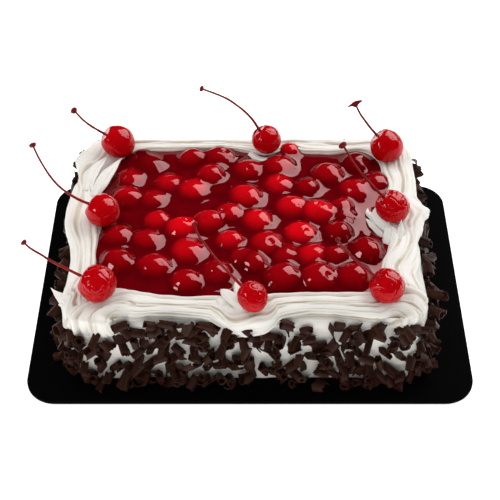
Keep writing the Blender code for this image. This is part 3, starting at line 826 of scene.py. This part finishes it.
west, east, south, north = OPENING_BOX
gel_x = np.arange(west - GEL_REACH, east + GEL_REACH, GEL_PITCH)
gel_y = np.arange(south - GEL_REACH, north + GEL_REACH, GEL_PITCH)
grid_x, grid_y = np.meshgrid(gel_x, gel_y, indexing="xy")
flat_points = np.stack([grid_x.ravel(), grid_y.ravel()], axis=1)
inset = from_opening(flat_points[:, 0], flat_points[:, 1])
lumps = 0.0006 * noise_at(flat_points, 0.0100, 4.0) + 0.00025 * noise_at(flat_points, 0.0048, 9.0)
gel_top = GEL_LEVEL + 0.0006 * noise_at(flat_points, 0.016, 2.0)
height = np.full(len(flat_points), GEL_START)
# The gel's skin settles on the level where the fruit and the gel below it, blended, begin
for _ in range(GEL_ROUNDS):
    at = np.column_stack([flat_points, height])
    gaps = distances(at) - GEL_COAT - lumps[:, None]
    shares = np.exp(-gaps / GEL_SOFTNESS).sum(axis=1) + np.exp(-(height - gel_top) / GEL_SOFTNESS)
    height = height + GEL_SOFTNESS * np.log(shares) * GEL_STEP
at = np.column_stack([flat_points, height])
gaps = distances(at)
nearest = gaps.argmin(axis=1)
depth = gaps.min(axis=1).clip(0, 0.02)
# The fruit is painted darkest low on its sides: partly for the thicker gel that covers it there, and partly
# as painted shade from its neighbours
tops = np.array([place.z + radii[2] for place, _, radii, *_ in shapes])[nearest]
crown_light_and_thin_gel = smooth_step((at[:, 2] - GEL_LEVEL + 0.0005) / np.maximum(tops - GEL_LEVEL, 0.003))
tone = np.array([facts[-1] for facts in FRUIT])[nearest] * (0.15 + 0.85 * crown_light_and_thin_gel)
keep = (inset > 0.0002 - GEL_REACH).reshape(grid_x.shape)
faces = np.array(grid_faces(*grid_x.shape))
kept_faces = faces[keep.ravel()[faces].all(axis=1)]
used, kept_faces = np.unique(kept_faces, return_inverse=True)
kept_faces = kept_faces.reshape(-1, 4)

gel_material, tree, shader = new_material("cherry_gel")
depth_value = surface_value(tree, "depth")
tone_value = surface_value(tree, "tone")
murk = place_noise(tree, 160.0, 3.0, 0.5)
# The fruit's colour runs with its tone, which holds its own lightness and the painted shade low on its sides
fruit = blend_colours(tree, tone_value, (0.105, 0.0003, 0.0020), (0.86, 0.0030, 0.0090))
pool = blend_colours(tree, murk, (0.108, 0.0004, 0.0025), (0.195, 0.0007, 0.0046))
# Painted shade: close to the cherries, in the crevices between them, the gel is painted a darker red
between = math.e ** ((depth_value * 210.0) ** 2.0 * -1.0)
pool = blend_colours(tree, between, pool, (0.085, 0.0004, 0.0024))
seen_through = math.e ** ((depth_value * 480.0) ** 1.6 * -1.0)
set_sockets(tree, shader, {
    "Base Color": blend_colours(tree, seen_through, pool, fruit),
    "Roughness": 0.035,
    "IOR": 1.85,
    "Specular Tint": (1.0, 0.58, 0.58, 1.0),
    "Subsurface Weight": 0.12,
    "Subsurface Radius": (0.006, 0.0004, 0.0004),
})
gel_values = {"depth": depth[used], "tone": tone[used]}
gel = add_piece("cherry_gel", at[used], kept_faces.tolist(), gel_material, gel_values)
# The skin's edge is drawn down to the foot and closed there
bpy.ops.object.mode_set(mode="EDIT")
bpy.ops.mesh.select_all(action="DESELECT")
bpy.ops.mesh.select_mode(type="EDGE")
bpy.ops.mesh.select_non_manifold()
bpy.ops.mesh.extrude_region_move()
bpy.ops.transform.resize(value=(1.0, 1.0, 0.0), center_override=(0.0, 0.0, GEL_FOOT))
bpy.ops.mesh.edge_face_add()
bpy.ops.mesh.select_all(action="SELECT")
bpy.ops.mesh.normals_make_consistent(inside=False)
bpy.ops.object.mode_set(mode="OBJECT")
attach(gel, "root")
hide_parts("cherry_filling")


# The stemmed cherries: eight large candied cherries set in the border, each with a hollow where its stem
# goes in. Some are smooth and some are wrinkled, and their folds and hollows are painted darker, as painted
# shade. Their skin is wet and clear red over paler flesh.

CHERRY_HOLLOW = 0.12
HOLLOW_RIM = 0.02
# The syrup grows from none to full between these heights over the middle, in radii
SYRUP_FROM = 0.28
SYRUP_TO = 0.66
STEM_RADIUS = 0.00085
STEM_SIDES = 12
STEM_STATIONS = 34
STEM_WANDER = 0.0009
# The knob at a stem's end: how far along it, and how thick it is there against its size
KNOB = ((0.10, 0.85), (0.35, 1.15), (0.62, 1.25), (0.86, 1.0), (1.0, 0.4))
# One stem ends in a bit of twig that lies across it: how far along from its middle, and its radius there
TWIG_HALF_LENGTH = 0.0060
TWIG = (
    (-1.0, 0.0003), (-0.75, 0.0006), (-0.45, 0.0010), (-0.15, 0.0016),
    (0.2, 0.0017), (0.5, 0.0013), (0.8, 0.0008), (1.0, 0.0003),
)

cherry_material, tree, shader = new_material("candied_cherry")
crease_shade_value = surface_value(tree, "crease_shade")
syrup_value = surface_value(tree, "syrup")
flesh = place_noise(tree, 130.0, 3.0, 0.5)
pores = place_noise(tree, 1100.0, 2.0, 0.5)
skin_colour = blend_colours(tree, flesh, (0.365, 0.0005, 0.0025), (0.58, 0.0014, 0.0052))
# Painted shade: the folds, the fine lines and the stem's hollow are painted darker
skin_colour = blend_colours(tree, crease_shade_value, skin_colour, (0.36, 0.0010, 0.0030))
set_sockets(tree, shader, {
    "Base Color": skin_colour,
    "Roughness": 0.04 + pores * 0.04,
    "Specular IOR Level": 0.16,
    "Specular Tint": (1.0, 0.50, 0.53, 1.0),
    "Coat Weight": syrup_value * 0.66 + 0.05,
    "Coat Roughness": 0.05,
    "Coat IOR": 1.62,
    "Subsurface Weight": 0.14,
    "Subsurface Radius": (0.006, 0.0006, 0.0005),
    "Normal": bump(tree, pores, 0.05, 0.0002),
})

stem_material, tree, shader = new_material("cherry_stem")
along_value = surface_value(tree, "along")
streak = place_noise(tree, 700.0, 3.0, 0.6)
stem_colour = blend_colours(tree, along_value, (0.33, 0.002, 0.005), (0.12, 0.006, 0.006))
set_sockets(tree, shader, {
    "Base Color": blend_colours(tree, streak, stem_colour, (0.20, 0.005, 0.006)),
    "Roughness": 0.25 + streak * 0.2,
    "Specular IOR Level": 0.35,
    "Specular Tint": (1.0, 0.5, 0.5, 1.0),
    "Normal": bump(tree, streak, 0.3, 0.0002),
})


def stem_tube(points, radii, draw_shift):
    """A closed tube along points, a little knobbly, and how far along it each of its points is."""
    points = [Vector(p) for p in points]
    rows = []
    side = Vector((0.3, 0.8, 0.2))
    for k, (point, radius) in enumerate(zip(points, radii)):
        way = (points[min(k + 1, len(points) - 1)] - points[max(k - 1, 0)]).normalized()
        side = (side - way * side.dot(way)).normalized()
        other = way.cross(side)
        for j in range(STEM_SIDES):
            turn = 2 * math.pi * j / STEM_SIDES
            direction = side * math.cos(turn) + other * math.sin(turn)
            knobbly = 1 + 0.16 * noise.noise(direction * 1.3 + Vector((0, 0, k * 0.35 + draw_shift)))
            rows.append(point + direction * radius * knobbly)
    count = len(points)
    share = np.repeat(np.linspace(0, 1, count), STEM_SIDES)
    return [tuple(p) for p in rows], tube_faces(count, STEM_SIDES), share


for number, (node, facts) in enumerate(STEMMED_CHERRIES.items()):
    centre, radius, slimness, middle, tip, end_radius, wrinkled = facts
    centre, middle, tip = Vector(centre), Vector(middle), Vector(tip)
    stem_way = (middle - centre).normalized()
    turn = stem_way.to_track_quat("Z", "Y").to_matrix()
    bpy.ops.object.select_all(action="DESELECT")
    bpy.ops.mesh.primitive_ico_sphere_add(subdivisions=6, radius=1.0, location=(0, 0, 0))
    cherry = bpy.context.object
    cherry.name = node + "_fruit"
    points = np.array([v.co for v in cherry.data.vertices])
    to_pole = points[:, 2]
    shift = 3.7 * number + 1.0
    lumps = noise_at(points, 1.1, shift)
    folds = noise_at(points * (1.0, 1.0, 0.7), 0.42, shift + 5)
    lines = noise_at(points * (1.0, 1.0, 0.5), 0.22, shift + 9)
    fold_depth = np.exp(-((folds / 0.08) ** 2)) * wrinkled
    line_depth = np.exp(-((lines / 0.06) ** 2)) * (0.15 + 0.85 * wrinkled)
    near_pole = np.clip((to_pole - 0.55) / 0.45, 0, 1)
    size = 1 + 0.045 * lumps + 0.012 * wrinkled * folds - 0.055 * fold_depth * (0.60 + 0.40 * near_pole)
    size -= 0.012 * line_depth * (0.30 + 0.70 * near_pole)
    size -= CHERRY_HOLLOW * smooth_step((to_pole - 0.86) / 0.14)
    size += HOLLOW_RIM * np.exp(-(((to_pole - 0.78) / 0.10) ** 2))
    shaped = points * size[:, None] * (radius * slimness, radius * slimness, radius)
    shaped = shaped @ np.array(turn).T + np.array(centre)
    cherry.data.vertices.foreach_set("co", shaped.ravel())
    # Painted shade: how much darker the skin is painted in its folds, its fine lines and round its hollow
    fold_and_hollow_shade = np.clip(0.8 * fold_depth * near_pole + 0.35 * line_depth + near_pole**4, 0, 1)
    # The syrup has run off the underside, so that only the upper side is fully wet
    syrup = smooth_step(((shaped[:, 2] - centre.z) / radius - SYRUP_FROM) / (SYRUP_TO - SYRUP_FROM))
    set_surface_values(cherry.data, {"crease_shade": fold_and_hollow_shade, "syrup": syrup})
    cherry.data.update()
    bpy.ops.object.shade_smooth()
    cherry.data.materials.append(cherry_material)
    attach(cherry, "root")
    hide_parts(node)

    foot = centre + stem_way * radius * 0.66
    bend = middle * 2 - (foot + tip) / 2
    steps = np.linspace(0, 1, STEM_STATIONS)
    path = [foot * (1 - t) ** 2 + bend * 2 * t * (1 - t) + tip * t**2 for t in steps]
    wander = noise_at([[(t * 3.0, number * 5.0, k) for k in range(3)] for t in steps], 1.0)
    path = [p + Vector(w) * STEM_WANDER * t for p, w, t in zip(path, wander, steps)]
    radii = [STEM_RADIUS * (1.05 - 0.25 * t + 0.55 * math.exp(-t * 14)) for t in steps]
    past_tip = path[-1] + (path[-1] - path[-3]).normalized() * end_radius * 1.5
    for share_of_knob, size_of_knob in KNOB:
        path.append(path[STEM_STATIONS - 1].lerp(past_tip, share_of_knob))
        radii.append(end_radius * size_of_knob)
    points, faces, share = stem_tube(path, radii, number * 2.3)
    if node == "cherry_back_right":
        twig_way = Vector((0.8, -0.1, 0.55)).normalized() * TWIG_HALF_LENGTH
        twig_path = [past_tip + twig_way * k for k, _ in TWIG]
        more_points, more_faces, more_share = stem_tube(twig_path, [size for _, size in TWIG], 8.0)
        faces += [[v + len(points) for v in face] for face in more_faces]
        points += more_points
        share = np.concatenate([share, np.ones(len(more_share))])
    stem = add_piece(node + "_stem", points, faces, stem_material, {"along": share})
    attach(stem, "root")
    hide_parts(node)


# The curls: shavings of dark chocolate, rolled up or broken, pressed by hand into the icing on all four
# sides. They lie thickest near the board and at the corners, and stand out most near the board.

CURL_SPACING = 0.0080
CURL_HEIGHTS = (0.0060, 0.0130, 0.0205, 0.0285, 0.0365, 0.0440, 0.0510)
# The share of curls that is missing from each row, and how much of it is missing near the corners
CURL_MISSING = (0.08, 0.09, 0.13, 0.16, 0.14, 0.10, 0.15)
CORNER_MISSING = 0.25
CORNER_FROM = 0.085
# They are spread evenly along a line this far out from the cake
CURL_STAND = 0.006
CURL_STEPS = (10, 60, 44)
CURL_SEED = 5
CURL_LENGTHS = (0.0062, 0.0108)
CURL_WALLS = (0.00045, 0.00075)
# Most shavings are rolled up, some only half, and the rest are flat chips
ROLLED_BELOW = 0.68
HALF_ROLLED_BELOW = 0.84
CHIP_REACH = 0.0012
CURL_STATIONS = 4
JAG = 0.0009
# The share of curls that lie along the cake, and how far these, the others and the high ones tilt in degrees
LYING_SHARE = 0.38
LYING_TILT = 18
STANDING_TILTS = (30, 72)
HIGH_TILT = 25
LOOSE_ROWS = 2
LOOSE_STAND = 0.0050
PRESSED_STAND = 0.0022
# Few curls lie higher than this over the hem of the cream, and at the back they end lower
OVER_HEM = 0.003
LOWER_AT_BACK = 0.012
COVERED_SHARE = 0.85
# Curls on the front that lie up against the piping, in mm: how far to the right, how high, and their slope
HIGH_CURLS = (
    (-80, 58.5, 5), (-75, 54, 20), (-62, 58, -30), (-58, 53, 40), (-51, 60.5, 10), (-46, 56, -70),
    (-39, 58, 75), (-34, 54, 20), (-28, 57.5, -15), (-22, 53, 60), (-11, 46, 30), (3, 45, -25),
    (13, 48, 10), (23, 58, -20), (35, 54, 30), (55, 54, 5), (65, 53.5, 80), (81, 55.5, 65),
)


def curl_shape(draw):
    """The points and faces of one shaving, lying along Z round the origin, and how wide it is."""
    kind = draw.random()
    length = draw.uniform(*CURL_LENGTHS)
    wall = draw.uniform(*CURL_WALLS)
    if kind < ROLLED_BELOW:
        turns, radius, pitch = draw.uniform(1.2, 2.1), draw.uniform(0.0023, 0.0038), wall * 1.35
    elif kind < HALF_ROLLED_BELOW:
        turns, radius, pitch = draw.uniform(0.5, 0.85), draw.uniform(0.0028, 0.0040), 0.0
    else:
        turns, radius, pitch = draw.uniform(0.14, 0.26), draw.uniform(0.006, 0.010), 0.0
        length *= 0.75
    is_chip = kind >= HALF_ROLLED_BELOW
    sides = max(5, int(turns * 14))
    flare = draw.uniform(-0.35, 0.35)
    slant = draw.uniform(-0.5, 0.5)
    jag = [draw.uniform(-JAG, JAG) for _ in range(2 * (sides + 1))]
    outer_wall = [(k, 0.0) for k in range(sides + 1)]
    inner_wall = [(k, wall) for k in range(sides, -1, -1)]
    points = []
    for station in range(CURL_STATIONS):
        share = station / (CURL_STATIONS - 1) - 0.5
        for k, inside in outer_wall + inner_wall:
            turn = 2 * math.pi * turns * (k / sides - 0.5)
            reach = radius * (1 + flare * share) - pitch * k / sides * turns - inside
            end = jag[k] * (share < -0.4) + jag[sides + 1 + k] * (share > 0.4)
            z = length * share + slant * reach * math.sin(turn) * abs(share) * 2 + end
            points.append((reach * math.cos(turn) - radius * is_chip, reach * math.sin(turn), z))
    columns = len(outer_wall + inner_wall)
    faces = grid_faces(CURL_STATIONS, columns, close_columns=True)
    for first in (0, (CURL_STATIONS - 1) * columns):
        last = first + columns - 1
        faces += [[first + k, first + k + 1, last - k - 1, last - k] for k in range(sides)]
    return np.array(points), faces, CHIP_REACH if is_chip else radius


def turn_towards(axis, out):
    """The turn that takes Z to the axis and X outwards."""
    out = (out - axis * axis.dot(out)).normalized()
    return np.array((out, axis.cross(out), axis)).T


def lay_curl(flat, normal, z, slope, tilt, stand):
    """Adds one curl against the cake, sloping along its side and tilted out from it."""
    level = Vector((-normal.y, normal.x, 0.0))
    axis = level * math.cos(slope) + Vector((0, 0, 1)) * math.sin(slope)
    axis = (axis * math.cos(tilt) + normal * math.sin(tilt)).normalized()
    points, faces, reach = curl_shape(draw)
    roll = draw.uniform(0, 2 * math.pi) if reach > CHIP_REACH else draw.uniform(-0.5, 0.5)
    spin = np.array(Matrix.Rotation(roll, 3, "Z"))
    points = points @ spin.T @ turn_towards(axis, normal).T
    stand += reach * draw.uniform(0.6, 1.1) + abs(math.sin(tilt)) * 0.0022
    points = points + np.array((*flat, z)) + np.array(normal) * stand
    points[:, 2] += max(0.0, CAKE_FOOT + 0.0001 - points[:, 2].min())
    first = sum(len(p) for p in curl_points)
    curl_points.append(points)
    curl_faces.extend([v + first for v in face] for face in faces)
    curl_tones.append(np.full(len(points), draw.random()))


round_cake, round_normals = outline(CAKE_BOX, CAKE_CORNERS, CURL_STEPS)
round_along, round_whole = lengths_along(round_cake + CURL_STAND * round_normals)
draw = random.Random(CURL_SEED)
curl_points, curl_faces, curl_tones = [], [], []
columns = int(round_whole / CURL_SPACING)
for column in range(columns):
    for row, row_height in enumerate(CURL_HEIGHTS):
        steps_along = column + 0.5 * (row % 2) + draw.uniform(-0.45, 0.45)
        distance = steps_along * round_whole / columns % round_whole
        k = int(np.searchsorted(round_along, distance, side="right")) - 1
        after = (k + 1) % len(round_cake)
        share = (distance - round_along[k]) / ((round_along[after] - round_along[k]) % round_whole)
        flat = round_cake[k] * (1 - share) + round_cake[after] * share
        normal = Vector((*(round_normals[k] * (1 - share) + round_normals[after] * share), 0.0)).normalized()
        missing = CURL_MISSING[row] * (CORNER_MISSING if abs(flat[0]) > CORNER_FROM else 1.0)
        if draw.random() < missing:
            continue
        highest = hem[np.hypot(*(outer - flat).T).argmin()] + OVER_HEM - LOWER_AT_BACK * (normal.y > 0.9)
        if row_height > highest and draw.random() < COVERED_SHARE:
            continue
        slope = math.radians(draw.uniform(-90, 90))
        if draw.random() < LYING_SHARE:
            tilt = math.radians(draw.gauss(0, LYING_TILT))
        else:
            tilt = math.radians(draw.choice((-1, 1)) * draw.uniform(*STANDING_TILTS))
        stand = draw.uniform(0, LOOSE_STAND if row < LOOSE_ROWS else PRESSED_STAND)
        lay_curl(flat, normal, row_height + draw.uniform(-0.0035, 0.0035), slope, tilt, stand)
for x, z, slope in HIGH_CURLS:
    tilt = math.radians(draw.uniform(-HIGH_TILT, HIGH_TILT))
    lay_curl((x / 1000, CAKE_BOX[2]), Vector((0, -1, 0)), z / 1000, math.radians(slope), tilt, 0.001)

chocolate_material, tree, shader = new_material("dark_chocolate")
tone_value = surface_value(tree, "tone")
shaved = place_noise(tree, 420.0, 4.0, 0.65)
crumb = place_noise(tree, 1600.0, 2.0, 0.6)
dark = blend_colours(tree, tone_value, (0.0032, 0.0008, 0.0003), (0.0190, 0.0054, 0.0025))
set_sockets(tree, shader, {
    "Base Color": blend_colours(tree, shaved, dark, (0.052, 0.017, 0.0095)),
    "Roughness": 0.34 + shaved * 0.22,
    "Specular IOR Level": 0.12,
    "Normal": bump(tree, shaved * 0.6 + crumb * 0.4, 0.35, 0.0004),
})
curl_points = np.concatenate(curl_points)
curl_values = {"tone": np.concatenate(curl_tones)}
curls = add_piece("chocolate_curls", curl_points, curl_faces, chocolate_material, curl_values)
bpy.ops.object.shade_smooth_by_angle(angle=math.radians(40))
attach(curls, "root")
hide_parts("iced_cake")
